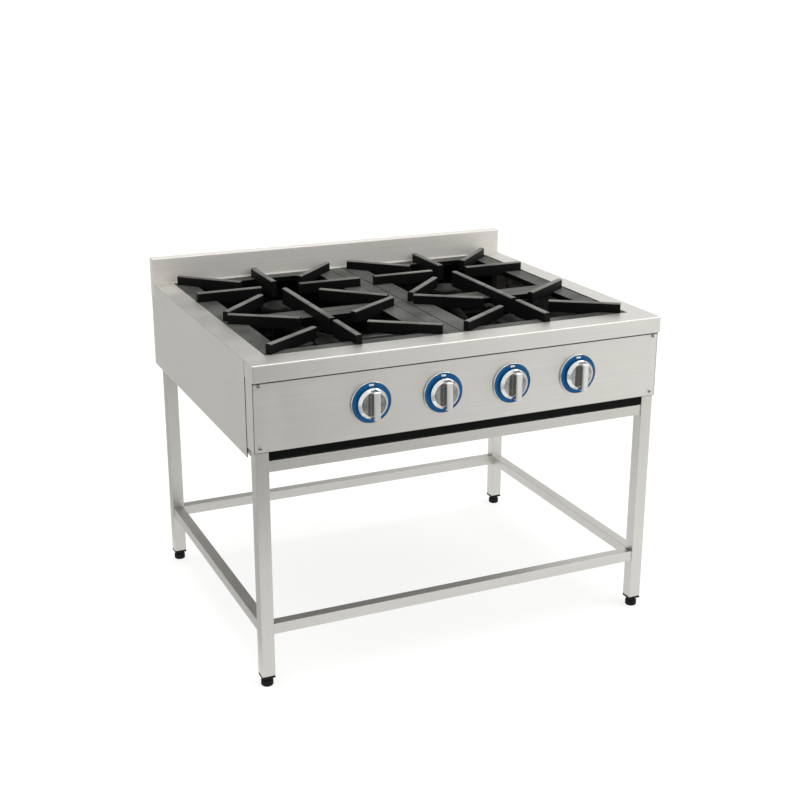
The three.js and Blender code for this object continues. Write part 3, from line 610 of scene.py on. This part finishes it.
def bead_loop(bm, corners, r):
    """A rippled bead along a closed loop of corners."""
    points = []
    for a, b in zip(corners, corners[1:] + corners[:1]):
        n = max(2, int((b - a).length / BEAD_STEP))
        points += [a.lerp(b, k / n) for k in range(n)]
    centre = sum(points, Vector()) / len(points)
    n, sides = len(points), 6
    rings = []
    for k, p in enumerate(points):
        along = (points[(k + 1) % n] - points[k - 1]).normalized()
        out = (p - centre).normalized()
        across = along.cross(out).normalized()
        out = across.cross(along).normalized()
        rr = r * (0.82 + 0.18 * math.cos(k * 2.4))
        ring = []
        for s in range(sides):
            t = 2 * math.pi * s / sides
            ring.append(bm.verts.new(p + out * rr * math.cos(t) + across * rr * math.sin(t)))
        rings.append(ring)
    for k in range(n):
        a, b = rings[k], rings[(k + 1) % n]
        for s in range(sides):
            q = (s + 1) % sides
            bm.faces.new((a[s], a[q], b[q], b[s]))


beads = bmesh.new()
for ring in ("lower", "upper"):
    for side in ("front", "rear", "left", "right"):
        lo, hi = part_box(f"{ring}_rail_{side}")
        axis = 0 if side in ("front", "rear") else 1
        other = 1 - axis
        outline = [(lo[other], lo.z), (hi[other], lo.z), (hi[other], hi.z), (lo[other], hi.z)]
        for end in (lo[axis] - OFF_THE_END, hi[axis] + OFF_THE_END):
            loop = []
            for across, height in outline:
                corner = Vector((0.0, 0.0, height))
                corner[axis] = end
                corner[other] = across
                loop.append(corner)
            bead_loop(beads, loop, RAIL_BEAD_R)
piece("weld_beads", beads, weld, ROOT, 60)


def dressed_bead(bm, axis, lo, hi, fixed, r, n):
    """A nearly even bead in n steps along one axis from lo to hi; fixed is its place on the other two."""
    sides = 8
    others = [a for a in range(3) if a != axis]
    rings = []
    for k in range(n + 1):
        rr = r * (0.96 + 0.04 * math.sin(k * 1.9))
        ring = []
        for s in range(sides):
            t = 2 * math.pi * s / sides
            p = [0.0, 0.0, 0.0]
            p[axis] = lo + (hi - lo) * k / n
            p[others[0]] = fixed[0] + rr * math.cos(t)
            p[others[1]] = fixed[1] + rr * math.sin(t)
            ring.append(bm.verts.new(p))
        rings.append(ring)
    for a, b in zip(rings, rings[1:]):
        for s in range(sides):
            q = (s + 1) % sides
            bm.faces.new((a[s], a[q], b[q], b[s]))
    bm.faces.new(rings[0])
    bm.faces.new(rings[-1])


# along the foot of the splashback
SEAM_IN = 0.002
SEAM_SUNK = 0.0001
seam = bmesh.new()
seam_line = (splash_lo.y - SEAM_SUNK, top_hi.z - SEAM_SUNK)
dressed_bead(seam, 0, splash_lo.x + SEAM_IN, splash_hi.x - SEAM_IN, seam_line, 0.0011, 260)
piece("splash_seam", seam, tube["x"], ROOT, 60)

# between each side panel and the worktop
EDGE_BEAD_R = 0.00075
EDGE_INSET = EDGE_BEAD_R + 0.00001  # keeps the bead within the worktop's width
EDGE_PROUD = 0.00015
SPLASH_CLEAR = 0.001
for side, outward in (("left", -1), ("right", 1)):
    lo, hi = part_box(f"side_panel_{side}")
    edge = bmesh.new()
    edge_line = (outward * (top_hi.x - EDGE_INSET), hi.z + EDGE_PROUD)
    dressed_bead(edge, 1, lo.y + SEAM_IN, splash_lo.y - SPLASH_CLEAR, edge_line, EDGE_BEAD_R, 240)
    piece(f"edge_seam_{side}", edge, sheet["y"], ROOT, 60)


# ---------------------------------------------------------------------------
# Floor, light and camera
# ---------------------------------------------------------------------------


def sheet_mesh(name, corners):
    """A flat sheet that belongs to the stage, not to the range."""
    mesh = bpy.data.meshes.new(name)
    mesh.from_pydata(corners, [], [(0, 1, 2, 3)])
    made = bpy.data.objects.new(name, mesh)
    scene.collection.objects.link(made)
    return made


def floor_material():
    g = Graph("studio_floor")
    cloud = g.noise(1.4, 2.0, 0.5)
    g.colour(g.ramp(cloud, (0.3, 0.3), (0.7, 0.31)))
    g.set(Roughness=0.85, Specular_IOR_Level=0.0)
    g.set(Emission_Color=(1.0, 0.998, 0.993, 1.0), Emission_Strength=0.74)
    return g.material


HALF = 120.0  # half the floor's width
floor_corners = [(-HALF, -HALF, 0), (HALF, -HALF, 0), (HALF, HALF, 0), (-HALF, HALF, 0)]
floor = sheet_mesh("studio_floor", floor_corners)
floor.data.materials.append(floor_material())


def card(name, corners, low, high, at):
    """A studio card that only reflections see.

    Its brightness runs from low to high along X, between the two places of its width given as at.
    """
    made = sheet_mesh(name, corners)
    m = bpy.data.materials.new(name)
    m.use_nodes = True
    tree = m.node_tree
    tree.nodes.clear()
    out = tree.nodes.new("ShaderNodeOutputMaterial")
    glow = tree.nodes.new("ShaderNodeEmission")
    tree.links.new(glow.outputs[0], out.inputs["Surface"])
    coord = tree.nodes.new("ShaderNodeTexCoord")
    parts = tree.nodes.new("ShaderNodeSeparateXYZ")
    tree.links.new(coord.outputs["Generated"], parts.inputs[0])
    ramp = tree.nodes.new("ShaderNodeValToRGB")
    ramp.color_ramp.interpolation = "EASE"
    tree.links.new(parts.outputs["X"], ramp.inputs["Fac"])
    a, b = ramp.color_ramp.elements
    a.position, b.position = at
    a.color = (low, low * 0.99, low * 0.96, 1)
    b.color = (high, high * 0.995, high * 0.98, 1)
    tree.links.new(ramp.outputs["Color"], glow.inputs["Color"])
    made.data.materials.append(m)
    made.visible_camera = False
    made.visible_diffuse = False
    made.visible_shadow = False
    made.visible_transmission = False
    made.visible_volume_scatter = False


def floor_card(name, x0, x1, y0, y1, z, low, high, at=(0.0, 1.0)):
    card(name, [(x0, y0, z), (x1, y0, z), (x1, y1, z), (x0, y1, z)], low, high, at)


def wall_card(name, x0, x1, y, z0, z1, low, high, at):
    card(name, [(x0, y, z0), (x1, y, z0), (x1, y, z1), (x0, y, z1)], low, high, at)


# x from and to, the other places, brightness low and high, and where along X it rises
floor_card("card_front_near", -3.0, 5.0, -2.6, -1.25, 0.02, 0.14, 1.2, (0.36, 0.58))
floor_card("card_front_far", -4.0, 6.0, -7.0, -2.6, 0.02, 0.25, 1.35, (0.38, 0.53))
floor_card("card_front_dark", -1.2, 3.4, -2.33, -1.97, 0.03, 0.06, 0.08)
floor_card("card_left_floor", -4.5, -0.56, -1.25, 6.0, 0.02, 0.6, 0.62)
wall_card("card_back_high", -6.0, 8.0, 7.0, 2.72, 7.0, 0.03, 1.0, (0.49, 0.79))
wall_card("card_back_low", -6.0, 8.0, 7.0, 0.0, 2.7, 0.5, 1.0, (0.45, 0.75))
wall_card("card_front_wall", -6.0, 8.0, -7.1, 0.0, 6.0, 0.3, 1.1, (0.42, 0.64))

world = bpy.data.worlds.new("studio")
scene.world = world
world.use_nodes = True
sky = world.node_tree.nodes["Background"].inputs
sky["Color"].default_value = (1.0, 0.995, 0.985, 1.0)
sky["Strength"].default_value = 1.0


def soft_light(name, place, target, size, power):
    data = bpy.data.lights.new(name, "AREA")
    data.shape = "SQUARE"
    data.size = size
    data.energy = power
    data.color = (1.0, 0.985, 0.96)
    made = bpy.data.objects.new(name, data)
    scene.collection.objects.link(made)
    made.location = place
    made.rotation_euler = (Vector(target) - Vector(place)).to_track_quat("-Z", "Y").to_euler()


soft_light("key", (2.6, -2.2, 3.4), (0.1, 0, 0.5), 2.4, 46.0)
soft_light("top", (-0.3, 0.4, 4.4), (0, 0, 0.4), 3.6, 60.0)

# the camera looks to the right of +Y by yaw and down by pitch, and is turned about its view by roll
CAMERA_PLACE = (-1.28889, -2.87394, 1.52561)
yaw, pitch, roll = math.radians(24.36), math.radians(18.17), math.radians(0.12)
camera_data = bpy.data.cameras.new("camera")
camera_data.sensor_width = 36.0
camera_data.lens = 59.44
camera_data.clip_end = 300.0
camera = bpy.data.objects.new("camera", camera_data)
scene.collection.objects.link(camera)
ahead = Vector((math.sin(yaw) * math.cos(pitch), math.cos(yaw) * math.cos(pitch), -math.sin(pitch)))
right = Vector((math.cos(yaw), -math.sin(yaw), 0.0))
up = right.cross(ahead)
turned_right = right * math.cos(roll) + up * math.sin(roll)
turned_up = up * math.cos(roll) - right * math.sin(roll)
axes = Matrix((turned_right, turned_up, -ahead)).transposed()
camera.matrix_world = Matrix.Translation(CAMERA_PLACE) @ axes.to_4x4()
scene.camera = camera

scene.view_settings.view_transform = "Standard"
